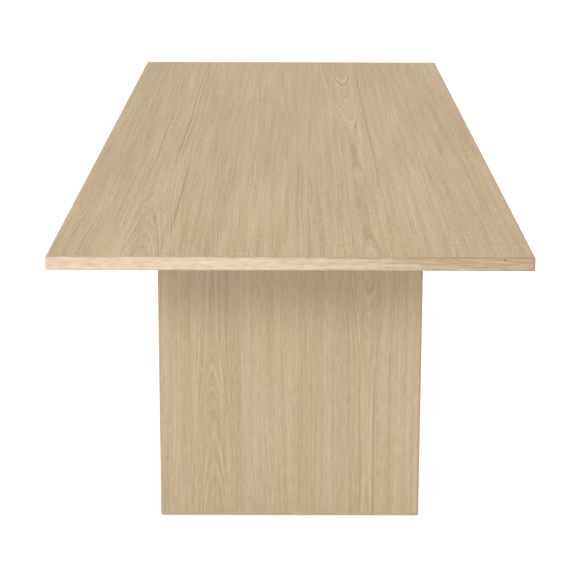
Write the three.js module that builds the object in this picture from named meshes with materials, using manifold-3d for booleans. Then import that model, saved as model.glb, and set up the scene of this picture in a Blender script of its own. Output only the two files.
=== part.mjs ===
// A communion table: a thin oak-veneered top on two slab legs that stand in from its ends.
// Millimetres, +Z up, +X to the right and +Y towards the rear end, with the origin on the floor
// under the middle of the top. The front end is at -Y.
//
// The top and the legs are blockboard, faced with oak veneer and edged with solid oak lipping.
// A steel plate is screwed on each leg and drawn up into a recess under the top by machine
// screws in threaded inserts. Two steel channels let into the underside keep the top straight.
// Each leg stands on two levelling feet, a stud that turns in an insert and a pad that it carries.

import * as THREE from "three";
import { mergeVertices } from "three/addons/utils/BufferGeometryUtils.js";
import Module from "manifold-3d";

// ---------- driving dimensions ----------

const TABLE_LENGTH = 2600;
const TABLE_WIDTH = 900;
const TABLE_HEIGHT = 745;
const TOP_THICKNESS = 25;
const VENEER = 0.5;
const LIPPING = 4;
const ARRIS = 1.5; // rounding on the edges that a hand meets
const CORNER_RADIUS = 2; // the upright corners of the top

const LEG_WIDTH = 575;
const LEG_THICKNESS = 40;
const LEG_INSET = 620; // from the end of the top to the leg's outer face
const FLOOR_GAP = 2; // the legs clear the floor by this, on their feet

const FIT_GAP = 0.3; // between a part and the hole or recess that it drops into

const PLATE = { length: 480, width: 120, thickness: 6, cornerRadius: 10 };
const LEG_SCREW = { headRadius: 6.5, headDepth: 3.5, shankRadius: 3.5, length: 80, socketAcross: 5 };
const LEG_SCREW_X = [-190, -65, 65, 190];
const PLATE_SCREW = { headRadius: 6, headDepth: 3.2, shankRadius: 2.8, length: 16, socketAcross: 4 };
const PLATE_SCREW_X = 205;
const PLATE_SCREW_Y = 45;
const TOP_INSERT = { radius: 5, boreRadius: 3.1, length: 13, sunk: 1 };

const STIFFENER = { length: 2300, width: 38, depth: 12, wall: 3, x: 340 };
const STIFFENER_HOLE = { radius: 2.5, headRadius: 5, headDepth: 2.4, pilotRadius: 2, pilotDepth: 17 };
const STIFFENER_HOLES = 6;
const STIFFENER_HOLE_SPACING = 440;

const FOOT_X = 235; // from the middle of the leg to each foot
const PAD = { radius: 14, height: 7, chamfer: 1, pocketDepth: 4 };
const STUD = { radius: 3.7, top: 50, footRadius: 6.2, collarAcross: 13, collarHeight: 4.4 };
const FOOT_INSERT = { radius: 6, boreRadius: 4, length: 22 };
const FOOT_RECESS = { radius: 16, top: 12 }; // counterbore in the leg, measured up from the floor

// ---------- sizes that follow ----------

const TOP_UNDERSIDE = TABLE_HEIGHT - TOP_THICKNESS;
const CORE_WIDTH = TABLE_WIDTH - 2 * LIPPING;
const CORE_LENGTH = TABLE_LENGTH - 2 * LIPPING;
const LEG_CORE_WIDTH = LEG_WIDTH - 2 * LIPPING;
const LEG_CORE_BOTTOM = FLOOR_GAP + LIPPING;
const LEG_MIDDLE_Y = TABLE_LENGTH / 2 - LEG_INSET - LEG_THICKNESS / 2;

// ---------- finishes ----------

const finish = (color, roughness, metalness) =>
  new THREE.MeshStandardMaterial({ color, roughness, metalness });
const OAK_VENEER = finish(0xc7b090, 0.55, 0);
const OAK_LIPPING = finish(0xe2cdaa, 0.55, 0);
const BLOCKBOARD = finish(0xd0b88c, 0.8, 0);
const COATED_STEEL = finish(0x1d1e20, 0.5, 0.3);
const ZINC = finish(0xb4b8bc, 0.35, 0.9);
const NYLON = finish(0x2a2a2b, 0.6, 0);

// ---------- cutting and joining ----------

const wasm = await Module();
wasm.setup();

// A closed three.js geometry as a solid that can be cut and joined.
function solidOf(geometry) {
  const bare = geometry.clone();
  bare.deleteAttribute("normal");
  bare.deleteAttribute("uv");
  const merged = mergeVertices(bare, 1e-4);
  return new wasm.Manifold(
    new wasm.Mesh({
      numProp: 3,
      vertProperties: merged.attributes.position.array,
      triVerts: new Uint32Array(merged.index.array),
    }),
  );
}

function geometryOf(solid) {
  const mesh = solid.getMesh();
  const geometry = new THREE.BufferGeometry();
  geometry.setAttribute("position", new THREE.BufferAttribute(mesh.vertProperties, 3));
  geometry.setIndex(new THREE.BufferAttribute(mesh.triVerts, 1));
  geometry.computeVertexNormals();
  return geometry;
}

const cut = (geometry, tools) =>
  geometryOf(tools.reduce((solid, tool) => solid.subtract(solidOf(tool)), solidOf(geometry)));
const join = (geometry, others) =>
  geometryOf(others.reduce((solid, other) => solid.add(solidOf(other)), solidOf(geometry)));
const overlapOf = (geometry, other) => geometryOf(solidOf(geometry).intersect(solidOf(other)));

// ---------- plain shapes ----------

// A box from its lowest to its highest corner.
function boxBetween([x0, y0, z0], [x1, y1, z1]) {
  return new THREE.BoxGeometry(x1 - x0, y1 - y0, z1 - z0).translate(
    (x0 + x1) / 2,
    (y0 + y1) / 2,
    (z0 + z1) / 2,
  );
}

// An upright turned shape from its outline, a list of [radius, height] that starts and ends on the axis.
function turned(outline, sides = 16) {
  const points = outline.map(([radius, height]) => new THREE.Vector2(radius, height));
  return new THREE.LatheGeometry(points, sides).rotateX(Math.PI / 2);
}

const cylinder = (radius, z0, z1) =>
  turned([
    [0, z0],
    [radius, z0],
    [radius, z1],
    [0, z1],
  ]);

// An upright hexagonal bar, measured across its flats.
function hexBar(across, z0, z1) {
  const radius = across / 2 / Math.cos(Math.PI / 6);
  return new THREE.CylinderGeometry(radius, radius, z1 - z0, 6)
    .rotateX(Math.PI / 2)
    .translate(0, 0, (z0 + z1) / 2);
}

// A rectangle with round corners, centred on the origin.
function roundedRectangle(width, length, radius) {
  const x = width / 2 - radius;
  const y = length / 2 - radius;
  const shape = new THREE.Shape();
  shape.absarc(x, y, radius, 0, Math.PI / 2);
  shape.absarc(-x, y, radius, Math.PI / 2, Math.PI);
  shape.absarc(-x, -y, radius, Math.PI, 1.5 * Math.PI);
  shape.absarc(x, -y, radius, 1.5 * Math.PI, 2 * Math.PI);
  return shape;
}

const slab = (shape, thickness, curveSegments = 6) =>
  new THREE.ExtrudeGeometry(shape, { depth: thickness, bevelEnabled: false, curveSegments });

const at = (geometry, x, y, z = 0) => geometry.clone().translate(x, y, z);

function mesh(name, geometry, material, x = 0, y = 0, z = 0) {
  const made = new THREE.Mesh(geometry, material);
  made.name = name;
  made.position.set(x, y, z);
  return made;
}

// A countersunk screw, point at height 0 and the top of its head at its length, with a hexagon socket.
function countersunkScrew({ headRadius, headDepth, shankRadius, length, socketAcross }) {
  const body = turned([
    [0, 0],
    [shankRadius - 1, 0],
    [shankRadius, 1],
    [shankRadius, length - headDepth],
    [headRadius, length],
    [0, length],
  ]);
  return cut(body, [hexBar(socketAcross, length - 0.6 * headDepth, length + 1)]);
}

// The hole for a countersunk screw through a plate: its sunk face is at height 0, and it runs down.
function countersink({ headRadius, headDepth, shankRadius }, thickness) {
  return turned([
    [0, -thickness - 1],
    [shankRadius + FIT_GAP, -thickness - 1],
    [shankRadius + FIT_GAP, -headDepth],
    [headRadius + FIT_GAP, 0],
    [headRadius + FIT_GAP, 1],
    [0, 1],
  ]);
}

// ---------- leg plates and their screws ----------

// Where each plate takes the screws that hold it to the top. Those into the leg are in a line.
const PLATE_SCREW_PLACES = [
  [-PLATE_SCREW_X, -PLATE_SCREW_Y],
  [PLATE_SCREW_X, -PLATE_SCREW_Y],
  [PLATE_SCREW_X, PLATE_SCREW_Y],
  [-PLATE_SCREW_X, PLATE_SCREW_Y],
];

// The plate has countersinks below for the screws into the top, and above for those into the leg.
function plateGeometry() {
  const blank = slab(roundedRectangle(PLATE.length, PLATE.width, PLATE.cornerRadius), PLATE.thickness);
  const fromBelow = countersink(PLATE_SCREW, PLATE.thickness).rotateX(Math.PI);
  const fromAbove = countersink(LEG_SCREW, PLATE.thickness);
  return cut(blank, [
    ...PLATE_SCREW_PLACES.map(([x, y]) => at(fromBelow, x, y)),
    ...LEG_SCREW_X.map((x) => at(fromAbove, x, 0, PLATE.thickness)),
  ]);
}

// The recess that a plate drops into, cut up from the underside of the top.
function plateRecess(depth) {
  const outline = roundedRectangle(
    PLATE.length + 2 * FIT_GAP,
    PLATE.width + 2 * FIT_GAP,
    PLATE.cornerRadius + FIT_GAP,
  );
  return slab(outline, depth + 1).translate(0, 0, -1);
}

function insertGeometry({ radius, boreRadius, length }) {
  const chamfer = 0.6;
  return turned([
    [boreRadius, 0],
    [radius - chamfer, 0],
    [radius, chamfer],
    [radius, length],
    [boreRadius, length],
    [boreRadius, 0],
  ]);
}

// ---------- stiffening channels ----------

const STIFFENER_HOLE_Y = Array.from(
  { length: STIFFENER_HOLES },
  (_, i) => (i - (STIFFENER_HOLES - 1) / 2) * STIFFENER_HOLE_SPACING,
);

// A steel channel with its web at height 0 and its two flanges standing up into the core.
function stiffenerGeometry() {
  const { length, width, depth, wall } = STIFFENER;
  const bar = boxBetween([-width / 2, -length / 2, 0], [width / 2, length / 2, depth]);
  const trough = boxBetween(
    [wall - width / 2, -length / 2 - 1, wall],
    [width / 2 - wall, length / 2 + 1, depth + 1],
  );
  const { radius, headRadius, headDepth } = STIFFENER_HOLE;
  const hole = countersink({ headRadius, headDepth, shankRadius: radius }, wall).rotateX(Math.PI);
  return cut(bar, [trough, ...STIFFENER_HOLE_Y.map((y) => at(hole, 0, y))]);
}

// The grooves for one channel: a shallow one for its web, and a deep one for each flange.
function stiffenerGrooves() {
  const { length, width, depth, wall } = STIFFENER;
  const endY = length / 2 + FIT_GAP;
  const outerX = width / 2 + FIT_GAP;
  const innerX = width / 2 - wall - FIT_GAP;
  return [
    boxBetween([-outerX, -endY, -1], [outerX, endY, wall + FIT_GAP]),
    boxBetween([-outerX, -endY, 0], [-innerX, endY, depth + FIT_GAP]),
    boxBetween([innerX, -endY, 0], [outerX, endY, depth + FIT_GAP]),
  ];
}

const stiffenerPilots = () =>
  STIFFENER_HOLE_Y.map((y) =>
    at(cylinder(STIFFENER_HOLE.pilotRadius, 0, STIFFENER_HOLE.pilotDepth), 0, y),
  );

// ---------- the top ----------

// The whole top as one slab with eased edges, resting on height 0. The lippings are cut from it.
function easedSlab() {
  const outline = roundedRectangle(
    TABLE_WIDTH - 2 * ARRIS,
    TABLE_LENGTH - 2 * ARRIS,
    CORNER_RADIUS - ARRIS,
  );
  return new THREE.ExtrudeGeometry(outline, {
    depth: TOP_THICKNESS - 2 * ARRIS,
    bevelThickness: ARRIS,
    bevelSize: ARRIS,
    bevelSegments: 4,
    curveSegments: 3,
  }).translate(0, 0, ARRIS);
}

// The side lippings run the whole length, and the end lippings fit between them.
function lippings() {
  const whole = easedSlab();
  const sideLimits = (x0, x1) => boxBetween([x0, -TABLE_LENGTH, -1], [x1, TABLE_LENGTH, TOP_THICKNESS + 1]);
  const endLimits = (y0, y1) =>
    boxBetween([-CORE_WIDTH / 2, y0, -1], [CORE_WIDTH / 2, y1, TOP_THICKNESS + 1]);
  const left = overlapOf(whole, sideLimits(-TABLE_WIDTH, -CORE_WIDTH / 2));
  const right = overlapOf(whole, sideLimits(CORE_WIDTH / 2, TABLE_WIDTH));
  const front = overlapOf(whole, endLimits(-TABLE_LENGTH, -CORE_LENGTH / 2));
  const rear = overlapOf(whole, endLimits(CORE_LENGTH / 2, TABLE_LENGTH));
  return [
    mesh("left_side_lipping", left, OAK_LIPPING),
    mesh("right_side_lipping", right, OAK_LIPPING),
    mesh("front_end_lipping", front, OAK_LIPPING),
    mesh("rear_end_lipping", rear, OAK_LIPPING),
  ];
}

// Everything that is cut up into the top from below, at its place in the top.
function undersideCuts() {
  const recess = plateRecess(PLATE.thickness);
  const plates = [-LEG_MIDDLE_Y, LEG_MIDDLE_Y].map((y) => at(recess, 0, y));
  const grooves = stiffenerGrooves();
  const channels = [-STIFFENER.x, STIFFENER.x].flatMap((x) => grooves.map((groove) => at(groove, x, 0)));
  return [...plates, ...channels];
}

function insertHoles() {
  const depth = TOP_INSERT.sunk + TOP_INSERT.length + 1;
  const hole = cylinder(TOP_INSERT.radius + FIT_GAP, 0, depth);
  return [-LEG_MIDDLE_Y, LEG_MIDDLE_Y].flatMap((legY) =>
    PLATE_SCREW_PLACES.map(([x, y]) => at(hole, x, legY + y, PLATE.thickness)),
  );
}

function topGroup() {
  const group = new THREE.Group();
  group.position.set(0, 0, TOP_UNDERSIDE);
  const sheet = (z0, z1) =>
    boxBetween([-CORE_WIDTH / 2, -CORE_LENGTH / 2, z0], [CORE_WIDTH / 2, CORE_LENGTH / 2, z1]);
  const pilots = [-STIFFENER.x, STIFFENER.x].flatMap((x) =>
    stiffenerPilots().map((pilot) => at(pilot, x, 0)),
  );
  const cuts = undersideCuts();
  const core = cut(sheet(VENEER, TOP_THICKNESS - VENEER), [...cuts, ...insertHoles(), ...pilots]);
  group.add(
    mesh("top_core", core, BLOCKBOARD),
    mesh("top_face_veneer", sheet(TOP_THICKNESS - VENEER, TOP_THICKNESS), OAK_VENEER),
    mesh("top_backing_veneer", cut(sheet(0, VENEER), cuts), OAK_VENEER),
    ...lippings(),
  );
  const channel = stiffenerGeometry();
  group.add(
    mesh("left_stiffener", channel, COATED_STEEL, -STIFFENER.x),
    mesh("right_stiffener", channel, COATED_STEEL, STIFFENER.x),
  );
  return group;
}

// A plate with the screws through it and the inserts over it, under the top at one leg.
function plateGroup(end, legY) {
  const group = new THREE.Group();
  group.position.set(0, legY, TOP_UNDERSIDE);
  group.add(mesh(`${end}_leg_plate`, plateGeometry(), COATED_STEEL));
  const flush = 0.2;
  const screw = countersunkScrew(PLATE_SCREW).rotateX(Math.PI);
  const insert = insertGeometry(TOP_INSERT);
  PLATE_SCREW_PLACES.forEach(([x, y], i) => {
    group.add(mesh(`${end}_plate_screw_${i + 1}`, screw, ZINC, x, y, PLATE_SCREW.length + flush));
    const insertZ = PLATE.thickness + TOP_INSERT.sunk;
    group.add(mesh(`${end}_top_insert_${i + 1}`, insert, ZINC, x, y, insertZ));
  });
  const legScrew = countersunkScrew(LEG_SCREW);
  const legScrewZ = PLATE.thickness - flush - LEG_SCREW.length;
  LEG_SCREW_X.forEach((x, i) => {
    group.add(mesh(`${end}_leg_screw_${i + 1}`, legScrew, ZINC, x, 0, legScrewZ));
  });
  return group;
}

// ---------- legs ----------

// An upright lipping for the leg's right edge, with its two outer edges eased.
function legEdgeLipping() {
  const half = LEG_THICKNESS / 2;
  const outline = new THREE.Shape();
  outline.moveTo(0, -half);
  outline.lineTo(LIPPING - ARRIS, -half);
  outline.absarc(LIPPING - ARRIS, ARRIS - half, ARRIS, -Math.PI / 2, 0);
  outline.absarc(LIPPING - ARRIS, half - ARRIS, ARRIS, 0, Math.PI / 2);
  outline.lineTo(0, half);
  return slab(outline, TOP_UNDERSIDE - FLOOR_GAP);
}

// The strip along the leg's foot, with a hole for each levelling foot.
function legBottomLipping() {
  const half = LEG_THICKNESS / 2;
  const strip = boxBetween([-LEG_CORE_WIDTH / 2, -half, 0], [LEG_CORE_WIDTH / 2, half, LIPPING]);
  const hole = cylinder(FOOT_RECESS.radius, -1, LIPPING + 1);
  return cut(strip, [at(hole, -FOOT_X, 0), at(hole, FOOT_X, 0)]);
}

// The leg's board, bored from above for the screws and from below for the levelling feet.
function legCore() {
  const half = LEG_THICKNESS / 2 - VENEER;
  const height = TOP_UNDERSIDE - LEG_CORE_BOTTOM;
  const board = boxBetween([-LEG_CORE_WIDTH / 2, -half, 0], [LEG_CORE_WIDTH / 2, half, height]);
  const screwHole = cylinder(LEG_SCREW.shankRadius + FIT_GAP, height - LEG_SCREW.length, height + 1);
  const recess = cylinder(FOOT_RECESS.radius, -1, FOOT_RECESS.top - LEG_CORE_BOTTOM);
  const studHole = cylinder(FOOT_INSERT.radius + FIT_GAP, 0, STUD.top + 2 - LEG_CORE_BOTTOM);
  const feet = [-FOOT_X, FOOT_X].flatMap((x) => [at(recess, x, 0), at(studHole, x, 0)]);
  return cut(board, [...LEG_SCREW_X.map((x) => at(screwHole, x, 0)), ...feet]);
}

// outward is -1 for the front leg, whose outer face looks along -Y, and 1 for the rear leg.
function legGroup(end, outward) {
  const group = new THREE.Group();
  group.position.set(0, outward * LEG_MIDDLE_Y, 0);
  const sheet = boxBetween(
    [-LEG_CORE_WIDTH / 2, -VENEER / 2, 0],
    [LEG_CORE_WIDTH / 2, VENEER / 2, TOP_UNDERSIDE - LEG_CORE_BOTTOM],
  );
  const sheetY = outward * (LEG_THICKNESS / 2 - VENEER / 2);
  const edge = legEdgeLipping();
  const left = mesh(`${end}_leg_left_lipping`, edge, OAK_LIPPING, -LEG_CORE_WIDTH / 2, 0, FLOOR_GAP);
  left.rotation.z = Math.PI;
  group.add(
    mesh(`${end}_leg_core`, legCore(), BLOCKBOARD, 0, 0, LEG_CORE_BOTTOM),
    mesh(`${end}_leg_outer_veneer`, sheet, OAK_VENEER, 0, sheetY, LEG_CORE_BOTTOM),
    mesh(`${end}_leg_inner_veneer`, sheet, OAK_VENEER, 0, -sheetY, LEG_CORE_BOTTOM),
    left,
    mesh(`${end}_leg_right_lipping`, edge, OAK_LIPPING, LEG_CORE_WIDTH / 2, 0, FLOOR_GAP),
    mesh(`${end}_leg_bottom_lipping`, legBottomLipping(), OAK_LIPPING, 0, 0, FLOOR_GAP),
  );
  return group;
}

// ---------- levelling feet ----------

// The feet are drawn screwed right in, so that the stud's collar is up against its insert.
// The nylon pad stands on the floor, and the foot of the stud turns in its pocket.
function padGeometry() {
  const { radius, height, chamfer, pocketDepth } = PAD;
  const pocketRadius = STUD.footRadius + FIT_GAP;
  return turned(
    [
      [0, 0],
      [radius - chamfer, 0],
      [radius, chamfer],
      [radius, height - chamfer],
      [radius - chamfer, height],
      [pocketRadius, height],
      [pocketRadius, height - pocketDepth],
      [0, height - pocketDepth],
    ],
    24,
  );
}

// The stud: a round foot, a hexagon collar for a spanner, and the threaded shank.
function studGeometry() {
  const footBottom = PAD.height - PAD.pocketDepth + FIT_GAP;
  const collarBottom = PAD.height + FIT_GAP;
  const collarTop = collarBottom + STUD.collarHeight;
  const collar = hexBar(STUD.collarAcross, collarBottom, collarTop);
  const turnedPart = turned([
    [0, footBottom],
    [STUD.footRadius, footBottom],
    [STUD.footRadius, collarBottom + 1],
    [STUD.radius, collarBottom + 1],
    [STUD.radius, STUD.top - 1],
    [STUD.radius - 1, STUD.top],
    [0, STUD.top],
  ]);
  return join(turnedPart, [collar]);
}

function footGroup(name, x, y) {
  const group = new THREE.Group();
  group.position.set(x, y, 0);
  group.add(
    mesh(`${name}_foot_pad`, padGeometry(), NYLON),
    mesh(`${name}_foot_stud`, studGeometry(), ZINC),
    mesh(`${name}_foot_insert`, insertGeometry(FOOT_INSERT), ZINC, 0, 0, FOOT_RECESS.top),
  );
  return group;
}

// ---------- the whole table ----------

const table = new THREE.Group();
table.add(topGroup());
for (const [end, outward] of [
  ["front", -1],
  ["rear", 1],
]) {
  const legY = outward * LEG_MIDDLE_Y;
  table.add(legGroup(end, outward), plateGroup(end, legY));
  table.add(footGroup(`${end}_left`, -FOOT_X, legY), footGroup(`${end}_right`, FOOT_X, legY));
}

export default table;
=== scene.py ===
import math

import bpy
import numpy as np
from mathutils import Matrix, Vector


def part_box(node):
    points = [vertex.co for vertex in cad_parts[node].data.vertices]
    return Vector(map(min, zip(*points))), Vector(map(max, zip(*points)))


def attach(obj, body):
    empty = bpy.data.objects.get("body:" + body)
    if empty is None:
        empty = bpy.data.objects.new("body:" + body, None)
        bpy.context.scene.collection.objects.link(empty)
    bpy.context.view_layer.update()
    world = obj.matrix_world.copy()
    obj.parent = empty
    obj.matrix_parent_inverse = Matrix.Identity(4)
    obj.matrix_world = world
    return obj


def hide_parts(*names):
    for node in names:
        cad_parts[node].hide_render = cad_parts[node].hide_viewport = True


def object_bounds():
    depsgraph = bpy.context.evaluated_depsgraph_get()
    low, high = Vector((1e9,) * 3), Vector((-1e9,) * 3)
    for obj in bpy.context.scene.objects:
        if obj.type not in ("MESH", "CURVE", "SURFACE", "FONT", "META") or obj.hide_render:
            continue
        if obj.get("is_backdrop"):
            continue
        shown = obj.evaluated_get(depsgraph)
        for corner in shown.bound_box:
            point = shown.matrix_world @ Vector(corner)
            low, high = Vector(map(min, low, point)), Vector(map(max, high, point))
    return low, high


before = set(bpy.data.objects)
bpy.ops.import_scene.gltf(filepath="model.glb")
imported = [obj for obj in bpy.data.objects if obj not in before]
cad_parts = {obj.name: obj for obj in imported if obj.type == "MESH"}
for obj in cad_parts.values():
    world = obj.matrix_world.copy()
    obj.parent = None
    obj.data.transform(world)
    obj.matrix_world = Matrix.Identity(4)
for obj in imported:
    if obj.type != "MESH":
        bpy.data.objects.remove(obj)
cad_low, cad_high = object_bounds()

# ---------- face veneer of the top ----------
# Crown-cut oak, half a millimetre thick, laid in leaves with the grain along the table. The
# middle of each leaf is cut near the heart of the log, so its annual rings nest as arches there
# and run straight at its sides. It is matt-oiled, so the pores stay open.

OAK = (0.478, 0.368, 0.238)
# The top's face is the legs' oak retinted, redder and less blue: painted colour that cancels the
# pale reflection of the light on the top, so that top and legs match. It is the same veneer.
FACE_OAK_AGAINST_SHEEN = (0.511, 0.375, 0.220)
DARKEST = (0.744, 0.710, 0.649)
PALEST = (1.203, 1.239, 1.310)
FLECK = (1.10, 1.11, 1.12)
WARMER = (1.010, 1.000, 0.970)
COOLER = (0.990, 1.000, 1.030)
IN_PORES = (0.66, 0.60, 0.52)
IN_STREAKS = (0.80, 0.77, 0.72)

# About how many lumps each pattern has in a metre across, along and through the grain.
CLOUDS = (9.0, 1.1, 9.0)
HUES = (24.0, 2.6, 24.0)
CLEAR_LINES = (26.0, 5.0, 26.0)
STREAKS = (95.0, 1.9, 95.0)
MOTTLING = (240.0, 42.0, 240.0)
RAYS = (420.0, 46.0, 420.0)
FIBRES = (1300.0, 24.0, 1300.0)
PORES = (2100.0, 120.0, 2100.0)

VENEER_RING_SPACING = 0.0034
VENEER_MOTTLING = 0.38
GRAIN_DEPTH = 0.00012
OIL_GLOSS = {"specular": 0.2, "ior": 1.25}


class Finish:
    """A finish being mixed: each call adds a shader node to its tree and gives what comes out."""

    def __init__(self, tree):
        self.tree = tree

    def add(self, kind, feeds=None, **settings):
        """One node with its settings, and numbers or other nodes' outputs fed to its sockets."""
        node = self.tree.nodes.new(kind)
        for name, value in settings.items():
            setattr(node, name, value)
        for socket, value in (feeds or {}).items():
            self.feed(node.inputs[socket], value)
        return node

    def feed(self, socket, value):
        if isinstance(value, bpy.types.NodeSocket):
            self.tree.links.new(value, socket)
        elif socket.type == "RGBA" and len(value) == 3:
            socket.default_value = (*value, 1.0)
        else:
            socket.default_value = value

    def calc(self, operation, *values, clamp=False):
        feeds = dict(enumerate(values))
        return self.add("ShaderNodeMath", feeds, operation=operation, use_clamp=clamp).outputs[0]

    def stretch(self, vector, factors):
        """The vector with each of its three parts multiplied by a number of its own."""
        feeds = {0: vector, 1: factors}
        return self.add("ShaderNodeVectorMath", feeds, operation="MULTIPLY").outputs[0]

    def shift(self, vector, amounts):
        feeds = {0: vector, 1: amounts}
        return self.add("ShaderNodeVectorMath", feeds, operation="ADD").outputs[0]

    def cloud(self, vector, detail=2.0, roughness=0.5):
        """Smooth noise about one half, whose lumps are about one unit of the vector across."""
        feeds = {"Vector": vector, "Scale": 1.0, "Detail": detail, "Roughness": roughness}
        return self.add("ShaderNodeTexNoise", feeds).outputs[0]

    def cloud_along(self, value, detail=2.0, roughness=0.5):
        feeds = {"W": value, "Scale": 1.0, "Detail": detail, "Roughness": roughness}
        return self.add("ShaderNodeTexNoise", feeds, noise_dimensions="1D").outputs[0]

    def ease(self, value, start, end, low=0.0, high=1.0):
        """Rises smoothly from low, at start, to high, at end, and is level beyond them."""
        feeds = {"Value": value, "From Min": start, "From Max": end, "To Min": low, "To Max": high}
        node = self.add("ShaderNodeMapRange", feeds, interpolation_type="SMOOTHSTEP")
        return node.outputs[0]

    def swing(self, value, amount):
        """Noise about one half, made to swing that much either side of nothing."""
        return self.calc("MULTIPLY", self.calc("SUBTRACT", value, 0.5), 2.0 * amount)

    def blend(self, factor, a, b, how="MIX"):
        """From colour a, at factor 0, to colour b, at factor 1."""
        settings = {"data_type": "RGBA", "blend_type": how}
        return self.add("ShaderNodeMix", {0: factor, 6: a, 7: b}, **settings).outputs[2]

    def tinted(self, color, tint):
        """The colour with its red, green and blue multiplied by those of the tint."""
        return self.blend(1.0, color, tint, how="MULTIPLY")

    def parts(self, vector):
        return self.add("ShaderNodeSeparateXYZ", {0: vector}).outputs

    def joined(self, x, y, z):
        return self.add("ShaderNodeCombineXYZ", {0: x, 1: y, 2: z}).outputs[0]

    def place(self):
        """Where each point is on the piece, in metres in the table's own frame."""
        return self.add("ShaderNodeTexCoord").outputs["Object"]

    def placed(self, tree, **feeds):
        """A group placed here, with its inputs fed by their names, as in left_crown=-0.28."""
        node = self.add("ShaderNodeGroup", None, node_tree=tree)
        for name, value in feeds.items():
            self.feed(node.inputs[name.replace("_", " ").capitalize()], value)
        return node.outputs


NUMBER, VECTOR, COLOR = "NodeSocketFloat", "NodeSocketVector", "NodeSocketColor"


def new_group(name, takes, gives):
    """A shader group with these named inputs and outputs, and a Finish to fill it with."""
    tree = bpy.data.node_groups.new(name, "ShaderNodeTree")
    for sockets, in_out in ((takes, "INPUT"), (gives, "OUTPUT")):
        for socket, kind in sockets.items():
            tree.interface.new_socket(name=socket, in_out=in_out, socket_type=kind)
    inside = Finish(tree)
    return inside, inside.add("NodeGroupInput").outputs, inside.add("NodeGroupOutput").inputs


def make_leaf_rings():
    """Which annual ring each point of a two-leaf veneer is in.

    A leaf is a flat cut past the heart of a tapering log. The ring is the distance from the
    heart, the root of (across - crown)^2 + depth^2, less the rise of the rings along the log,
    divided by the spacing of the rings. The rise sets in smoothly at a starting place and runs
    down the left leaf and up the right one. The heart wavers a little along its length.
    """
    takes = {"Grain": VECTOR, "Seam": NUMBER, "Depth": NUMBER, "Spacing": NUMBER, "Seed": NUMBER}
    for side in ("Left", "Right"):
        takes |= {f"{side} crown": NUMBER, f"{side} start": NUMBER, f"{side} rise": NUMBER}
    f, given, out = new_group("Oak leaf rings", takes, {"Ring": NUMBER})
    across, along, _ = f.parts(given["Grain"])
    seed = given["Seed"]
    bends = ((2.2, 1.5, 1.0, 0.011), (16.0, 7.0, 2.0, 0.0016))
    straight = across
    for lumps_across, lumps_along, detail, size in bends:
        u, v = f.calc("MULTIPLY", straight, lumps_across), f.calc("MULTIPLY", along, lumps_along)
        bend = f.swing(f.cloud(f.joined(u, v, seed), detail=detail), size)
        across = f.calc("ADD", across, bend)
    rings = []
    for side, way in (("Left", -1.0), ("Right", 1.0)):
        off = f.calc("SUBTRACT", across, given[f"{side} crown"])
        wander = f.cloud_along(f.calc("ADD", f.calc("MULTIPLY", along, 1.7), seed), detail=1.0)
        depth = f.calc("MULTIPLY", given["Depth"], f.calc("ADD", 1.0, f.swing(wander, 0.05)))
        squares = f.calc("ADD", f.calc("MULTIPLY", off, off), f.calc("MULTIPLY", depth, depth))
        past = f.calc("MULTIPLY", f.calc("SUBTRACT", along, given[f"{side} start"]), way)
        rise = f.calc("MULTIPLY", given[f"{side} rise"], f.calc("SMOOTH_MAX", past, 0.0, 0.12))
        distance = f.calc("SUBTRACT", f.calc("SQRT", squares), rise)
        rings.append(f.calc("DIVIDE", distance, given["Spacing"]))
    on_right = f.calc("GREATER_THAN", across, given["Seam"])
    another_leaf = f.calc("ADD", f.calc("SUBTRACT", rings[1], rings[0]), 40.0)
    f.feed(out["Ring"], f.calc("ADD", rings[0], f.calc("MULTIPLY", on_right, another_leaf)))
    return f.tree


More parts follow.
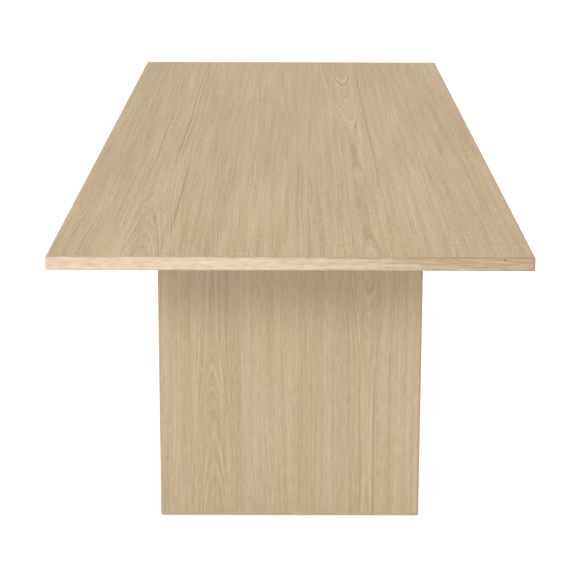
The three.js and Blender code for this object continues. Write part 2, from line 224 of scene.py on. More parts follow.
def make_oak_surface():
    """Oak, from the ring that each point is in and its place along, across and through the grain.

    Tone is the mean colour. The rings give lines of uneven width, with open pores crowded
    into the wood that each spring laid down. Streaks, fibres and broad clouds run along the
    grain. Height is one half on plain wood and lower in the pores.
    """
    takes = {"Grain": VECTOR, "Ring": NUMBER, "Tone": COLOR, "Contrast": NUMBER, "Mottling": NUMBER}
    gives = {"Color": COLOR, "Roughness": NUMBER, "Height": NUMBER}
    f, given, out = new_group("Oak surface", takes, gives)
    grain, ring = given["Grain"], given["Ring"]
    spring = f.calc("POWER", f.calc("SUBTRACT", 1.0, f.calc("FRACT", ring)), 3.0)
    lines = f.cloud_along(f.calc("MULTIPLY", ring, 1.7), detail=2.0, roughness=0.6)
    clear = f.cloud(f.stretch(grain, CLEAR_LINES), detail=1.0)
    streaks = f.cloud(f.stretch(grain, STREAKS), detail=3.0, roughness=0.72)
    mottling = f.cloud(f.stretch(grain, MOTTLING), detail=1.0)
    fibres = f.cloud(f.stretch(grain, FIBRES), detail=1.0)
    clouds = f.cloud(f.stretch(grain, CLOUDS), detail=2.5, roughness=0.6)
    light = f.calc("MULTIPLY", f.swing(lines, 0.86), f.ease(clear, 0.3, 0.7, low=0.4, high=1.5))
    for pattern, amount in ((streaks, 0.80), (fibres, 0.30), (clouds, 0.34)):
        light = f.calc("ADD", light, f.swing(pattern, amount))
    mottled = f.calc("MULTIPLY", f.swing(mottling, 1.0), given["Mottling"])
    light = f.calc("ADD", light, mottled)
    light = f.calc("SUBTRACT", light, f.calc("MULTIPLY", spring, 0.10))
    light = f.calc("ADD", 0.52, f.calc("MULTIPLY", light, given["Contrast"]), clamp=True)
    dashes = f.cloud(f.stretch(grain, PORES), detail=1.0)
    crowded = f.calc("ADD", 0.35, f.calc("MULTIPLY", spring, 0.65))
    pores = f.calc("MULTIPLY", f.ease(dashes, 0.56, 0.70), crowded)
    rays = f.cloud(f.shift(f.stretch(grain, RAYS), (7.0, 3.0, 5.0)), detail=0.0)
    flecks = f.ease(rays, 0.66, 0.78, high=0.5)
    color = f.blend(light, f.tinted(given["Tone"], DARKEST), f.tinted(given["Tone"], PALEST))
    color = f.blend(flecks, color, f.tinted(color, FLECK))
    hue = f.cloud(f.shift(f.stretch(grain, HUES), (1.0, 9.0, 4.0)), detail=2.0)
    color = f.blend(f.ease(hue, 0.30, 0.70), f.tinted(color, WARMER), f.tinted(color, COOLER))
    f.feed(out["Color"], f.blend(f.calc("MULTIPLY", pores, 0.62), color, f.tinted(color, IN_PORES)))
    dull = f.calc("ADD", 0.50, f.calc("MULTIPLY", pores, 0.25))
    f.feed(out["Roughness"], f.calc("SUBTRACT", dull, f.calc("MULTIPLY", light, 0.06)))
    raised = f.calc("ADD", 0.5, f.swing(lines, 0.10))
    raised = f.calc("ADD", raised, f.swing(fibres, 0.08))
    f.feed(out["Height"], f.calc("SUBTRACT", raised, f.calc("MULTIPLY", pores, 0.45)))
    return f.tree


LEAF_RINGS = make_leaf_rings()
OAK_SURFACE = make_oak_surface()


def new_material(name, roughness=0.5, metallic=0.0, specular=0.5, ior=1.5):
    """A material with its shader and output in place, and a Finish to feed them with."""
    material = bpy.data.materials.new(name)
    material.use_nodes = True
    material.node_tree.nodes.clear()
    f = Finish(material.node_tree)
    feeds = {"Roughness": roughness, "Metallic": metallic, "IOR": ior}
    shader = f.add("ShaderNodeBsdfPrincipled", feeds | {"Specular IOR Level": specular})
    f.add("ShaderNodeOutputMaterial", {"Surface": shader.outputs[0]})
    return material, f, shader.inputs


def finish_surface(f, shader, color, roughness, height, depth):
    """Feeds a surface's colour, roughness and relief to a shader. depth is in metres."""
    f.feed(shader["Base Color"], color)
    f.feed(shader["Roughness"], roughness)
    bump = f.add("ShaderNodeBump", {"Height": height, "Distance": depth, "Strength": 1.0})
    f.feed(shader["Normal"], bump.outputs[0])


def dark_streak(f, grain, middle, start, end):
    """One along a thin, slightly wavy line at that place across, fading at its two ends."""
    across, along, _ = f.parts(grain)
    wave = f.swing(f.cloud_along(f.calc("MULTIPLY", along, 6.0), detail=1.0), 0.003)
    away = f.calc("ABSOLUTE", f.calc("SUBTRACT", f.calc("ADD", across, wave), middle))
    line = f.ease(away, 0.0034, 0.0004)
    for tip, inside in ((start, start + 0.3), (end, end - 0.3)):
        line = f.calc("MULTIPLY", line, f.ease(along, tip, inside))
    return line


def oak_veneer(
    name, along, left, right, seam, seed, tone=OAK, depth=0.062, contrast=0.70, streaks=()
):
    """Veneer whose two leaves lie side by side along X, with the grain along Y or Z.

    left and right are the (crown, start, rise) of the leaves. Each dark streak is (place
    across, start, end).
    """
    material, f, shader = new_material(name, **OIL_GLOSS)
    x, y, z = f.parts(f.place())
    grain = f.joined(x, y, z) if along == "Y" else f.joined(x, z, y)
    feeds = {"seam": seam, "depth": depth, "spacing": VENEER_RING_SPACING, "seed": seed}
    for side, (crown, start, rise) in (("left", left), ("right", right)):
        feeds |= {f"{side}_crown": crown, f"{side}_start": start, f"{side}_rise": rise}
    ring = f.placed(LEAF_RINGS, grain=grain, **feeds)["Ring"]
    for streak in streaks:
        tone = f.blend(dark_streak(f, grain, *streak), tone, f.tinted(tone, IN_STREAKS))
    figure = {"tone": tone, "contrast": contrast, "mottling": VENEER_MOTTLING}
    look = f.placed(OAK_SURFACE, grain=f.shift(grain, (seed,) * 3), ring=ring, **figure)
    finish_surface(f, shader, look["Color"], look["Roughness"], look["Height"], GRAIN_DEPTH)
    return material


def dress(node_names, material):
    """Gives CAD pieces a finish."""
    for name in node_names:
        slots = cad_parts[name].data.materials
        slots.clear()
        slots.append(material)


face_oak = oak_veneer(
    "Oiled oak, face of the top",
    along="Y",
    left=(-0.283, -0.40, 0.020),
    right=(0.150, 0.15, 0.024),
    seam=-0.133,
    seed=2.0,
    tone=FACE_OAK_AGAINST_SHEEN,
    streaks=((0.193, -0.80, 1.10), (-0.231, -1.15, -0.30)),
)
dress(["top_face_veneer"], face_oak)

# ---------- backing veneer of the top ----------
# A plainer veneer on the underside balances the face, so that the board stays flat. It is cut
# round the plates and channels that are let into the underside, and is left duller.

backing_oak = oak_veneer(
    "Oak backing under the top",
    along="Y",
    left=(-0.360, 0.90, 0.010),
    right=(0.270, -0.90, 0.012),
    seam=0.060,
    seed=11.0,
    tone=(0.40, 0.295, 0.185),
)
dress(["top_backing_veneer"], backing_oak)

# ---------- lippings round the top ----------
# Solid oak strips, 4 mm thick, glued to the board's edges and rounded over. The side strips run
# the whole length, so their end grain shows at the corners. The front strip was sawn across the
# edge of the heartwood: most of it is pale sapwood, and it turns tan towards its right end.

SAPWOOD = (0.580, 0.461, 0.332)
HEARTWOOD = (0.322, 0.216, 0.117)
KNOT = (0.210, 0.135, 0.080)
# Tint of the painted shade along the rounded edges of the lippings.
ARRIS_SHADE_TINT = (0.78, 0.76, 0.68)
SOLID_RING_SPACING = 0.0027
SOLID_MOTTLING = 1.10


def make_strip_rings():
    """Which annual ring each point of a solid strip is in.

    The ring is the distance from a heart that lies along the grain, wavering as it goes, the
    root of across^2 + through^2, divided by the spacing of the rings.
    """
    takes = {"Grain": VECTOR, "Heart across": NUMBER, "Heart through": NUMBER, "Spacing": NUMBER}
    f, given, out = new_group("Oak strip rings", takes, {"Ring": NUMBER})
    across, along, through = f.parts(given["Grain"])
    sway = f.swing(f.cloud_along(f.calc("MULTIPLY", along, 3.1), detail=1.5), 0.020)
    sag = f.swing(f.cloud_along(f.calc("MULTIPLY", along, 4.3), detail=1.5), 0.008)
    u = f.calc("SUBTRACT", f.calc("ADD", across, sway), given["Heart across"])
    v = f.calc("SUBTRACT", f.calc("ADD", through, sag), given["Heart through"])
    squares = f.calc("ADD", f.calc("MULTIPLY", u, u), f.calc("MULTIPLY", v, v))
    f.feed(out["Ring"], f.calc("DIVIDE", f.calc("SQRT", squares), given["Spacing"]))
    return f.tree


STRIP_RINGS = make_strip_rings()


def oak_strip(name, axes, heart, seed, tan_and_edge_light, arris_shade=None, knot=None, contrast=0.42):
    """Solid oak. axes says which way lie across, along and through the grain, as in "ZXY".

    heart is where the log's heart is, across and through. tan_and_edge_light is how far the
    heartwood has
    taken over from the sapwood: a number, or a function of the Finish and the grain's place. On the
    left strip of the top it also paints a highlight, and on the right strips of the legs a shade.
    arris_shade is how much painted shade darkens it at its rounded edges, as a function of the
    Finish and the height.
    knot is the middle of a pin knot, across and along.
    """
    material, f, shader = new_material(name, **OIL_GLOSS)
    place = dict(zip("XYZ", f.parts(f.place())))
    grain = f.joined(*(place[axis] for axis in axes))
    feeds = {"heart_across": heart[0], "heart_through": heart[1], "spacing": SOLID_RING_SPACING}
    ring = f.placed(STRIP_RINGS, grain=grain, **feeds)["Ring"]
    share = tan_and_edge_light(f, grain) if callable(tan_and_edge_light) else tan_and_edge_light
    tone = f.blend(share, SAPWOOD, HEARTWOOD)
    if arris_shade:
        # Painted shade: the tone is darkened near the rounded edges, where the light falls off.
        tone = f.blend(arris_shade(f, place["Z"]), tone, f.tinted(tone, ARRIS_SHADE_TINT))
    if knot:
        tone = f.blend(pin_knot(f, grain, knot), tone, KNOT)
    figure = {"tone": tone, "contrast": contrast, "mottling": SOLID_MOTTLING}
    look = f.placed(OAK_SURFACE, grain=f.shift(grain, (seed,) * 3), ring=ring, **figure)
    finish_surface(f, shader, look["Color"], look["Roughness"], look["Height"], GRAIN_DEPTH)
    return material


REAR_END = cad_high[1]
UNDERSIDE, TABLE_TOP = (corner[2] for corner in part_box("front_end_lipping"))


def pin_knot(f, grain, middle):
    """One within the knot, falling to nothing at its rim: by the distance from its middle."""
    across, along, _ = f.parts(grain)
    u, v = f.calc("SUBTRACT", across, middle[0]), f.calc("SUBTRACT", along, middle[1])
    away = f.calc("SQRT", f.calc("ADD", f.calc("MULTIPLY", u, u), f.calc("MULTIPLY", v, v)))
    return f.ease(away, 0.0026, 0.0009)


def tan_at_right(f, grain):
    """The heartwood's edge leans: it is further right at the bottom of the strip than the top.

    Where the heartwood is, thin wavy lines of a deeper tan run slightly downhill to the right.
    """
    across, along, _ = f.parts(grain)
    below = f.calc("SUBTRACT", TABLE_TOP, across)
    lean = f.calc("SUBTRACT", along, f.calc("MULTIPLY", below, 4.0))
    ragged = f.cloud(f.stretch(grain, (160.0, 9.0, 160.0)), detail=2.0)
    share = f.ease(f.calc("ADD", lean, f.swing(ragged, 0.16)), -0.20, 0.50)
    wave = f.swing(f.cloud_along(f.calc("MULTIPLY", along, 9.0), detail=1.0), 0.005)
    downhill = f.calc("ADD", f.calc("ADD", across, wave), f.calc("MULTIPLY", along, 0.035))
    slanted = f.joined(f.calc("MULTIPLY", downhill, 520.0), f.calc("MULTIPLY", along, 14.0), 0.5)
    lines = f.ease(f.cloud(slanted, detail=2.0), 0.36, 0.62, low=0.62, high=1.0)
    return f.calc("MULTIPLY", share, lines)


def tan_at_ends(f, grain):
    """The strip pales towards the rear, and is dark within 3 mm of each end, on its end grain."""
    _, along, _ = f.parts(grain)
    pale = f.ease(along, -0.6, 0.3, low=0.58, high=0.42)
    end = f.ease(f.calc("ABSOLUTE", along), REAR_END - 0.003, REAR_END - 0.001)
    return f.calc("MAXIMUM", pale, end)


def shade_at_top_arrises(f, height):
    """Painted shade on the upper 8 mm, more towards the top, and on the lower arris."""
    upper = f.ease(height, TABLE_TOP - 0.008, TABLE_TOP - 0.001, high=0.35)
    lower = f.ease(height, UNDERSIDE + 0.003, UNDERSIDE + 0.0005)
    return f.calc("MAXIMUM", upper, lower)


def tan_in_patches(f, grain):
    """Sapwood and heartwood by turns along the strip."""
    _, along, _ = f.parts(grain)
    return f.ease(f.cloud_along(f.calc("MULTIPLY", along, 1.9), detail=1.0), 0.30, 0.75)


# For each strip, what oak_strip takes after its name.
TOP_STRIPS = {
    "front_end_lipping": ("ZXY", (0.690, -1.27), 3.0, tan_at_right, shade_at_top_arrises, (0.7405, 0.3935)),
    "rear_end_lipping": ("ZXY", (0.775, 1.26), 5.0, tan_in_patches, shade_at_top_arrises),
    # The left strip is all pale sapwood: a painted highlight that makes the top's left edge lighter
    # than its right, as if lit from the left.
    "left_side_lipping": ("ZYX", (0.700, -0.41), 7.0, 0.0),
    "right_side_lipping": ("ZYX", (0.765, 0.42), 9.0, tan_at_ends),
}
for strip, settings in TOP_STRIPS.items():
    dress([strip], oak_strip("Oak, " + strip.replace("_", " "), *settings))

# ---------- boards inside the top and the legs ----------
# Blockboard: softwood strips as wide as they are thick, glued side by side. It shows only
# inside the recesses and screw holes.

STRIP_WIDTH = 0.027
SOFTWOOD_DARK = (0.44, 0.30, 0.155)
SOFTWOOD_PALE = (0.70, 0.53, 0.32)
SOFTWOOD_LINES = (520.0, 6.0, 520.0)
SAWN_DEPTH = 0.0001


def blockboard(name, along):
    """Softwood strips side by side along X, each with a tone of its own, under fine grain."""
    material, f, shader = new_material(name, specular=0.3)
    x, y, z = f.parts(f.place())
    grain = f.joined(x, y, z) if along == "Y" else f.joined(x, z, y)
    strip = f.calc("FLOOR", f.calc("DIVIDE", x, STRIP_WIDTH))
    own = f.add("ShaderNodeTexWhiteNoise", {"W": strip}, noise_dimensions="1D").outputs[0]
    lines = f.cloud(f.stretch(grain, SOFTWOOD_LINES), detail=3.0)
    light = f.calc("ADD", f.calc("MULTIPLY", own, 0.5), f.calc("MULTIPLY", lines, 0.5))
    color = f.blend(light, SOFTWOOD_DARK, SOFTWOOD_PALE)
    roughness = f.ease(lines, 0.2, 0.8, low=0.7, high=0.85)
    finish_surface(f, shader, color, roughness, lines, SAWN_DEPTH)
    return material


dress(["top_core"], blockboard("Blockboard in the top", "Y"))
dress(["front_leg_core", "rear_leg_core"], blockboard("Blockboard in the legs", "Z"))

# ---------- veneers of the legs ----------
# The same crown-cut oak as the face of the top, with the grain upright. Each leg has two leaves
# on each face, laid top to tail, so the arches point up on one and down on the other.

# For each face: its left leaf, its right leaf, where the seam lies, and the seed.
LEG_FACES = {
    "front_leg_outer_veneer": ((-0.168, 0.400, 0.055), (0.172, 0.400, 0.085), 0.015, 17.0),
    "front_leg_inner_veneer": ((-0.120, 0.500, 0.050), (0.190, 0.250, 0.040), -0.020, 23.0),
    "rear_leg_outer_veneer": ((-0.185, 0.300, 0.045), (0.140, 0.480, 0.060), 0.010, 29.0),
    "rear_leg_inner_veneer": ((-0.150, 0.600, 0.060), (0.160, 0.350, 0.050), 0.000, 31.0),
}
for face, (left, right, seam, seed) in LEG_FACES.items():
    name = "Oiled oak, " + face.replace("_", " ")
    dress([face], oak_veneer(name, "Z", left, right, seam, seed, depth=0.042, contrast=0.57))

# ---------- lippings of the legs ----------
# Solid oak again: upright strips on both edges of each leg, and a strip under it, holed for the
# levelling feet. They are cut from heartwood, so they are a shade darker than the veneer.

LEG_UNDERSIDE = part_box("front_leg_bottom_lipping")[0][2]


def shade_at_floor_edge(f, height):
    """Painted shade on the rounded edge next to the floor."""
    return f.ease(height, LEG_UNDERSIDE + 0.0025, LEG_UNDERSIDE + 0.0005)


# The seeds of each leg's left, right and bottom strip.
LEG_STRIP_SEEDS = {"front": (13.0, 14.0, 41.0), "rear": (17.0, 18.0, 42.0)}

for end, (left_seed, right_seed, bottom_seed) in LEG_STRIP_SEEDS.items():
    low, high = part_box(f"{end}_leg_core")
    middle = (low[1] + high[1]) / 2
    # The right strips get a deeper tan than the left: painted shade that makes each leg's right
    # edge darker, as if lit from the left.
    uprights = (("left", -0.262, left_seed, 0.43), ("right", 0.255, right_seed, 0.66))
    for side, reach, seed, tan_and_edge_light in uprights:
        name = f"Oak lipping, {end} leg, {side}"
        upright = oak_strip(name, "YZX", (middle - 0.004, reach), seed, tan_and_edge_light)
        dress([f"{end}_leg_{side}_lipping"], upright)
    name = f"Oak lipping, under the {end} leg"
    under = oak_strip(name, "YXZ", (middle, 0.030), bottom_seed, 0.36, shade_at_floor_edge)
    dress([f"{end}_leg_bottom_lipping"], under)

# ---------- leg plates and stiffening channels ----------
# Mild steel. The plates are sawn from flat bar and drilled, the channels rolled; both are
# powder-coated black, which leaves a fine, even ripple.

COAT_DARK = (0.008, 0.008, 0.009)
COAT_PALE = (0.024, 0.025, 0.027)
COAT_RIPPLE_DEPTH = 0.00008


def powder_coat(name):
    """Black coating: a slow drift of tone, fine speckle, and the ripple that flowed powder has."""
    material, f, shader = new_material(name, specular=0.5)
    place = f.place()
    drift = f.cloud(f.stretch(place, (14.0, 14.0, 14.0)), detail=3.0)
    speckle = f.cloud(f.stretch(place, (2400.0, 2400.0, 2400.0)), detail=1.0)
    ripple = f.cloud(f.stretch(place, (620.0, 620.0, 620.0)), detail=2.0)
    light = f.calc("ADD", f.calc("MULTIPLY", drift, 0.6), f.calc("MULTIPLY", speckle, 0.4))
    color = f.blend(light, COAT_DARK, COAT_PALE)
    roughness = f.ease(drift, 0.25, 0.75, low=0.42, high=0.55)
    finish_surface(f, shader, color, roughness, ripple, COAT_RIPPLE_DEPTH)
    return material


COATED_STEEL = powder_coat("Black powder coat")
dress(["front_leg_plate", "rear_leg_plate", "left_stiffener", "right_stiffener"], COATED_STEEL)

# ---------- machine screws up through the plates ----------
# Countersunk M6 screws with hexagon sockets, turned, thread-rolled and zinc-plated. They come
# up through each plate into the inserts, and their heads sit just below the plate's face.

TURNED_SIDES = 36
ROWS_TO_A_TURN = 6
ZINC_YELLOW = (0.62, 0.60, 0.53)
ZINC_BLUE = (0.56, 0.60, 0.66)
ZINC_SPECK = (0.34, 0.34, 0.34)
ZINC_SCRATCH_DEPTH = 0.00002


def turned_surface(rows, sides, thread=None, closed_ring=False):
    """A turned shape as points and faces: rings of points, each (size, height, section).

    A point of a ring stands at its section's radius for that angle times the ring's size. The
    thread is (pitch, depth, from, to): between those heights the radius is less by the depth
    times a triangular wave of height / pitch - angle / turn, which winds as a right-hand screw.
    A ring of size 0 is one point that closes the shape, and a closed ring joins last to first.
    """
    angle = np.arange(sides) * 2.0 * np.pi / sides
    size = np.array([row[0] for row in rows])[:, None]
    height = np.array([row[1] for row in rows])[:, None]
    radius = size * np.stack([SECTIONS[row[2]](angle) for row in rows])
    if thread:
        pitch, depth, start, end = thread
        wave = np.abs(2.0 * np.mod(height / pitch - angle / (2.0 * np.pi), 1.0) - 1.0)
        within = (height > start) & (height < end)
        radius = radius - np.where(within, depth * wave, 0.0)
    heights = np.broadcast_to(height, radius.shape)
    grid = np.stack([radius * np.cos(angle), radius * np.sin(angle), heights], -1)
    first, last = (0, len(rows)) if closed_ring else (1, len(rows) - 1)
    points = grid[first:last].reshape(-1, 3)
    below = np.arange(last - first - (0 if closed_ring else 1))[:, None] * sides
    step, after = np.arange(sides), (np.arange(sides) + 1) % sides
    above = (below + sides) % len(points)
    quads = np.stack([below + step, below + after, above + after, above + step], -1)
    faces = quads.reshape(-1, 4).tolist()
    if not closed_ring:
        top = (last - first - 1) * sides
        base_point, top_point = len(points), len(points) + 1
        points = np.vstack([points, [[0, 0, rows[0][1]], [0, 0, rows[-1][1]]]])
        faces += [[base_point, b, a] for a, b in zip(step, after)]
        faces += [[top_point, top + a, top + b] for a, b in zip(step, after)]
    return points, faces


def hexagon(angle):
    """Radius of a hexagon one unit from its centre to its flats."""
    return 1.0 / np.cos(np.mod(angle + np.pi / 6, np.pi / 3) - np.pi / 6)


SECTIONS = {"round": np.ones_like, "hexagon": hexagon}


def new_piece(name, points, faces, material, body, stands_for=(), crease=35.0):
    """Puts worked-out points and faces into a mesh, and the piece on its body."""
    mesh = bpy.data.meshes.new(name)
    mesh.from_pydata(points.tolist(), [], faces)
    mesh.polygons.foreach_set("use_smooth", [True] * len(mesh.polygons))
    mesh.set_sharp_from_angle(angle=math.radians(crease))
    mesh.materials.append(material)
    mesh.update()
    piece = bpy.data.objects.new(name, mesh)
    bpy.context.scene.collection.objects.link(piece)
    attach(piece, body)
    if stands_for:
        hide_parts(*stands_for)
    return piece


def zinc_plating(name):
    """Bright zinc: blotches of yellow and blue in the plating, fine scratches, dull specks."""
    material, f, shader = new_material(name, metallic=0.9)
    place = f.place()
    blotches = f.cloud(f.stretch(place, (210.0, 210.0, 210.0)), detail=3.0)
    scratches = f.cloud(f.stretch(place, (3800.0, 900.0, 300.0)), detail=2.0)
    specks = f.cloud(f.stretch(place, (1700.0, 1700.0, 1700.0)), detail=1.0)
    tint = f.blend(f.ease(blotches, 0.35, 0.65), ZINC_YELLOW, ZINC_BLUE)
    color = f.blend(f.ease(specks, 0.60, 0.75), tint, ZINC_SPECK)
    roughness = f.ease(scratches, 0.3, 0.8, low=0.24, high=0.46)
    finish_surface(f, shader, color, roughness, scratches, ZINC_SCRATCH_DEPTH)
    return material


ZINC = zinc_plating("Zinc plating")


def countersunk_screw(head, shank, length, cone, socket, thread_pitch, thread_depth):
    """Rows and thread of a screw from its face, at height 0, to its point, all in metres."""
    socket_depth = 0.62 * cone
    thread_start = cone + 0.0012
    rows = [
        (0.0, socket_depth, "round"),
        (socket / 2, socket_depth, "hexagon"),
        (socket / 2, 0.0003, "hexagon"),
        (socket / 2 + 0.0003, 0.0, "hexagon"),
        (head - 0.0003, 0.0, "round"),
        (head, 0.0003, "round"),
        (shank, cone, "round"),
    ]
    count = int((length - 0.0006 - thread_start) / thread_pitch * ROWS_TO_A_TURN)
    rows += [(shank, z, "round") for z in np.linspace(thread_start, length - 0.0006, count)]
    rows += [(shank - thread_depth, length, "round"), (0.0, length, "round")]
    return rows, (thread_pitch, thread_depth, thread_start, length - 0.0002)


def stood_on(points, place, upside_down=False):
    """Points moved to their place, after half a turn about X if they stand upside down."""
    turned = points * (1, -1, -1) if upside_down else points
    return turned + np.array(place)


def fit_screws(kind, upside_down, **sizes):
    """Eight screws of one kind, each as long and as wide in the head as the node it replaces."""
    for node in (f"{end}_{kind}_{number}" for end in ("front", "rear") for number in range(1, 5)):
        low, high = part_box(node)
        head, length = (high[0] - low[0]) / 2, high[2] - low[2]
        rows, thread = countersunk_screw(head=head, length=length, **sizes)
        points, faces = turned_surface(rows, TURNED_SIDES, thread)
        face_height = high[2] if upside_down else low[2]
        place = ((low[0] + high[0]) / 2, (low[1] + high[1]) / 2, face_height)
        points = stood_on(points, place, upside_down)
        new_piece(f"{node}_turned", points, faces, ZINC, "table", [node])


fit_screws(
    "plate_screw",
    upside_down=False,
    shank=0.0029,
    cone=0.0032,
    socket=0.004,
    thread_pitch=0.001,
    thread_depth=0.00055,
)

# ---------- long screws down into the legs ----------
# Coarse-threaded countersunk screws, as used to join chipboard. They hold each plate down on the
# top of its leg and are hidden once the top is on.

fit_screws(
    "leg_screw",
    upside_down=True,
    shank=0.0035,
    cone=0.0035,
    socket=0.005,
    thread_pitch=0.003,
    thread_depth=0.0011,
)

# ---------- threaded inserts ----------
# Die-cast zinc sleeves screwed into the board, eight in the top and one for each foot. Each has
# a coarse thread outside, a plain machined bore, and a chamfered mouth.


def insert_rows(radius, length, bore, pitch):
    """Rows of a sleeve: up its outside, with a short plain mouth, and down its bore.

    bore is the radius of the bore, and pitch is that of the thread outside.
    """
    count = int((length - 0.0016) / pitch * ROWS_TO_A_TURN)
    rows = [(bore + 0.0006, 0.0, "round"), (radius - 0.0005, 0.0, "round")]
    rows += [(radius, 0.0006, "round")]
    rows += [(radius, z, "round") for z in np.linspace(0.0010, length - 0.0006, count)]
    rows += [(radius - 0.0008, length, "round"), (bore + 0.0002, length, "round")]
    return rows + [(bore, length - 0.0004, "round"), (bore, 0.0006, "round")]


M6_INSERT = {"bore": 0.0031, "pitch": 0.002}
M8_INSERT = {"bore": 0.00405, "pitch": 0.0025}
INSERT_THREAD_DEPTH = 0.0007
FEET = [f"{end}_{side}" for end in ("front", "rear") for side in ("left", "right")]
inserts = {f"{end}_top_insert_{i}": M6_INSERT for end in ("front", "rear") for i in range(1, 5)}
inserts |= {f"{foot}_foot_insert": M8_INSERT for foot in FEET}

for node, sizes in inserts.items():
    low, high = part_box(node)
    length = high[2] - low[2]
    rows = insert_rows((high[0] - low[0]) / 2, length, **sizes)
    thread = (sizes["pitch"], INSERT_THREAD_DEPTH, 0.0009, length - 0.0005)
    points, faces = turned_surface(rows, TURNED_SIDES, thread, closed_ring=True)
    points = stood_on(points, ((low[0] + high[0]) / 2, (low[1] + high[1]) / 2, low[2]))
    new_piece(f"{node}_cast", points, faces, ZINC, "table", [node])

# ---------- wood screws in the channels ----------
# Short countersunk wood screws with cross recesses, six up through the web of each channel, at
# even spacing, into pilot holes in the board.

CHANNEL_SCREWS = 6
CHANNEL_SCREW_SPACING = 0.440
CHANNEL_SCREW_ROWS = [
    (0.0, 0.0022, "round"),
    (0.0009, 0.0018, "cross"),
    (0.0023, 0.0, "cross"),
    (0.0045, 0.0, "round"),
    (0.0047, 0.0002, "round"),
    (0.0019, 0.0026, "round"),
    *((0.0019, z, "round") for z in np.linspace(0.0040, 0.0135, 32)),
    (0.0006, 0.0158, "round"),
    (0.0, 0.0162, "round"),
]
CHANNEL_SCREW_THREAD = (0.0018, 0.0006, 0.0041, 0.0134)
CHANNEL_SCREW_SIDES = 48


def cross_recess(angle):
    """Radius of a cross whose arms reach one unit and are 0.44 of a unit wide."""
    from_arm = np.mod(angle + np.pi / 4, np.pi / 2) - np.pi / 4
    return np.minimum(1.0, 0.22 / np.maximum(np.abs(np.sin(from_arm)), 1e-6))


SECTIONS["cross"] = cross_recess

for side in ("left", "right"):
    low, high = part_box(f"{side}_stiffener")
    for number in range(CHANNEL_SCREWS):
        rows, thread = CHANNEL_SCREW_ROWS, CHANNEL_SCREW_THREAD
        points, faces = turned_surface(rows, CHANNEL_SCREW_SIDES, thread)
        y = (number - (CHANNEL_SCREWS - 1) / 2) * CHANNEL_SCREW_SPACING
        points = stood_on(points, ((low[0] + high[0]) / 2, y, low[2] + 0.0002))
        name = f"{side}_stiffener_screw_{number + 1}"
        new_piece(name, points, faces, ZINC, "table")

# ---------- levelling feet ----------
# A nylon pad stands on the floor, and the round foot of a steel stud turns in its pocket. The
# stud's hexagon collar takes a spanner, and its M8 thread screws in or out of the insert.

NYLON_DARK = (0.020, 0.020, 0.021)
NYLON_PALE = (0.034, 0.034, 0.036)
DUST = (0.17, 0.16, 0.145)
NYLON_GRAIN_DEPTH = 0.00004


def fluted(angle):
    """Radius of a circle with thirty-two shallow hollows round it."""
    return 1.0 - 0.012 * (1.0 - np.cos(32.0 * angle))


def chamfered_hexagon(angle):
    """A hexagon whose corners were turned off to a circle."""
    return np.minimum(hexagon(angle), 1.075)


SECTIONS |= {"fluted": fluted, "chamfered": chamfered_hexagon}


def moulded_nylon(name):
    """Dark nylon: a fine moulded grain, and dust rubbed into the part nearest the floor."""
    material, f, shader = new_material(name, specular=0.4)
    place = f.place()
    _, _, height = f.parts(place)
    texture = f.cloud(f.stretch(place, (1900.0, 1900.0, 1900.0)), detail=2.0)
    drift = f.cloud(f.stretch(place, (90.0, 90.0, 90.0)), detail=2.0)
    clean = f.blend(drift, NYLON_DARK, NYLON_PALE)
    dust = f.calc("MULTIPLY", f.ease(height, 0.003, 0.0, high=0.5), f.ease(texture, 0.35, 0.65))
    color = f.blend(dust, clean, DUST)
    roughness = f.ease(texture, 0.2, 0.8, low=0.50, high=0.68)
    finish_surface(f, shader, color, roughness, texture, NYLON_GRAIN_DEPTH)
    return material


NYLON = moulded_nylon("Moulded nylon")
PAD_SIDES = 128
PAD_POCKET_RADIUS = 0.0065
PAD_POCKET_DEPTH = 0.0040
STUD_SIDES = 48
STUD_FOOT_RADIUS = 0.0062
COLLAR_HEIGHT = 0.0040
COLLAR_ACROSS_FLATS = 0.0130
SHOULDER_HEIGHT = 0.0084
STUD_THREAD_RADIUS = 0.0039
STUD_THREAD_PITCH = 0.00125
STUD_THREAD_DEPTH = 0.0006

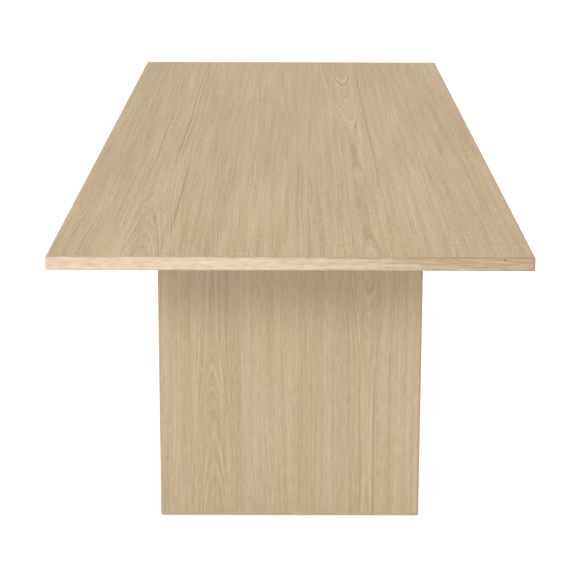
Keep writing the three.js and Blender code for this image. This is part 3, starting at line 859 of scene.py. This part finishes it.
for foot in FEET:
    node = f"{foot}_foot_pad"
    low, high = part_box(node)
    x, y = (low[0] + high[0]) / 2, (low[1] + high[1]) / 2
    radius, top = (high[0] - low[0]) / 2, high[2] - low[2]
    rows = [
        (0.0, 0.0, "round"),
        (radius - 0.0014, 0.0, "round"),
        (radius - 0.0006, 0.0003, "fluted"),
        (radius, 0.0011, "fluted"),
        (radius, top - 0.0012, "fluted"),
        (radius - 0.0006, top - 0.0004, "fluted"),
        (radius - 0.0014, top, "round"),
        (PAD_POCKET_RADIUS + 0.0004, top, "round"),
        (PAD_POCKET_RADIUS, top - 0.0004, "round"),
        (PAD_POCKET_RADIUS, top - PAD_POCKET_DEPTH, "round"),
        (0.0, top - PAD_POCKET_DEPTH, "round"),
    ]
    points, faces = turned_surface(rows, PAD_SIDES)
    points = stood_on(points, (x, y, low[2]))
    new_piece(f"{foot}_pad_moulded", points, faces, NYLON, f"{foot}_pad", [node])

    node = f"{foot}_foot_stud"
    low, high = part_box(node)
    length = high[2] - low[2]
    rows = [
        (0.0, 0.0, "round"),
        (STUD_FOOT_RADIUS - 0.0003, 0.0, "round"),
        (STUD_FOOT_RADIUS, 0.0003, "round"),
        (STUD_FOOT_RADIUS, COLLAR_HEIGHT, "round"),
        (COLLAR_ACROSS_FLATS / 2, COLLAR_HEIGHT, "chamfered"),
        (COLLAR_ACROSS_FLATS / 2, SHOULDER_HEIGHT - 0.0005, "chamfered"),
        (COLLAR_ACROSS_FLATS / 2 - 0.0003, SHOULDER_HEIGHT, "round"),
        (0.0036, SHOULDER_HEIGHT, "round"),
    ]
    start, end = SHOULDER_HEIGHT + 0.001, length - 0.001
    count = int((end - start) / STUD_THREAD_PITCH * ROWS_TO_A_TURN)
    rows += [(STUD_THREAD_RADIUS, z, "round") for z in np.linspace(start, end, count)]
    rows += [(0.0030, length, "round"), (0.0, length, "round")]
    thread = (STUD_THREAD_PITCH, STUD_THREAD_DEPTH, start + 0.0001, end - 0.0001)
    points, faces = turned_surface(rows, STUD_SIDES, thread)
    points = stood_on(points, (x, y, low[2]))
    new_piece(f"{foot}_stud_turned", points, faces, ZINC, f"{foot}_stud", [node])

# ---------- floor, light and camera ----------
# A white studio: a pale floor that runs on to a white surround as bright as the sky on a dull
# day, and two long softboxes in front of the table, one near the floor and one above head height.

FLOOR_REACH = 60.0
FLOOR_HEIGHT = -0.0002

floor_mesh = bpy.data.meshes.new("Floor")
floor_corners = [(-1, -1), (1, -1), (1, 1), (-1, 1)]
floor_points = [(x * FLOOR_REACH, y * FLOOR_REACH, FLOOR_HEIGHT) for x, y in floor_corners]
floor_mesh.from_pydata(floor_points, [], [(0, 1, 2, 3)])
floor = bpy.data.objects.new("Floor", floor_mesh)
bpy.context.scene.collection.objects.link(floor)
floor_paint, f, shader = new_material("Floor paint", roughness=0.9, specular=0.0)
f.feed(shader["Base Color"], (0.88, 0.88, 0.88))
seen = f.add("ShaderNodeLightPath").outputs["Is Camera Ray"]
f.feed(shader["Emission Color"], (1.0, 1.0, 1.0))
f.feed(shader["Emission Strength"], f.calc("MULTIPLY", seen, 0.5))
floor_mesh.materials.append(floor_paint)
floor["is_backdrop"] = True

world = bpy.data.worlds.new("Studio")
world.use_nodes = True
bpy.context.scene.world = world
surround = world.node_tree.nodes["Background"].inputs
surround["Color"].default_value = (1.0, 1.0, 1.0, 1.0)
surround["Strength"].default_value = 1.0

SOFTBOX_WIDTH = 7.0
SOFTBOX_DISTANCE = 7.5
UPRIGHT = Matrix.Rotation(math.radians(90.0), 4, "X")


def softbox(name, height, power, lift):
    """A long soft light in front of the table, facing it squarely."""
    lamp = bpy.data.lights.new(name, "AREA")
    lamp.shape, lamp.size, lamp.size_y, lamp.energy = "RECTANGLE", SOFTBOX_WIDTH, height, power
    light = bpy.data.objects.new(name, lamp)
    bpy.context.scene.collection.objects.link(light)
    light.matrix_world = Matrix.Translation((0.0, -SOFTBOX_DISTANCE, lift)) @ UPRIGHT


softbox("Low softbox", height=0.9, power=85.0, lift=0.5)
softbox("High softbox", height=1.1, power=175.0, lift=3.25)

CAMERA_PLACE = (0.0016, -4.7434, 1.5795)
CAMERA_TURN, CAMERA_TILT, CAMERA_ROLL = (math.radians(a) for a in (0.032, -14.587, 0.145))

camera_data = bpy.data.cameras.new("Camera")
camera_data.lens, camera_data.sensor_width = 120.0, 36.0
camera = bpy.data.objects.new("Camera", camera_data)
bpy.context.scene.collection.objects.link(camera)
camera.matrix_world = (
    Matrix.Translation(CAMERA_PLACE)
    @ Matrix.Rotation(CAMERA_TURN, 4, "Z")
    @ UPRIGHT
    @ Matrix.Rotation(CAMERA_TILT, 4, "X")
    @ Matrix.Rotation(CAMERA_ROLL, 4, "Z")
)
camera_data.clip_end = 300.0
bpy.context.scene.camera = camera
bpy.context.scene.view_settings.view_transform = "Standard"

# ---------- sizes, and the end ----------
# The box of the finished table; the box of the solids was taken just after the import.

low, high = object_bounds()
